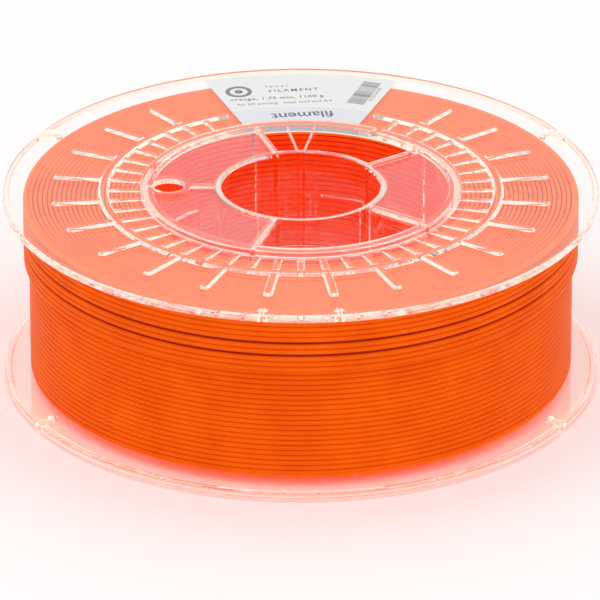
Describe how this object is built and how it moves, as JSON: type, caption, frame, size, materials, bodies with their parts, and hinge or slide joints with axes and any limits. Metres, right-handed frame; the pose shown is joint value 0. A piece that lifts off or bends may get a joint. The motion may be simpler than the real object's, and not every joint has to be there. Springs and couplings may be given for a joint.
{
  "type": "filament spool",
  "caption": "Flat-lying 3D printer filament spool: two clear ribbed flanges joined by a hollow hub, wound full of orange filament, with a label sector.",
  "frame": {"origin": "on the spool's axis, in the plane that the lower hub ring stands on", "axes": "+Z along the spool's axis from the lower flange to the upper one, +Y towards the label, +X to the right of the label field"},
  "size_m": [0.2, 0.2, 0.0689],
  "materials": {
    "clear_plastic": "clear moulded polystyrene, glossy, faintly green at the edges",
    "orange_filament": "bright orange printing filament, satin gloss",
    "label_paper": "white coated paper label with grey and dark print"
  },
  "bodies": {
    "lower_half": {"lower_spool_half": "clear_plastic", "filament_winding": "orange_filament"},
    "upper_half": {"upper_spool_half": "clear_plastic", "printed_label": "label_paper"}
  },
  "joints": [
    {"name": "pull_off", "type": "slide", "parent": "lower_half", "child": "upper_half", "axis": [0, 0, 1], "range_m": [0, 0.045]}
  ]
}
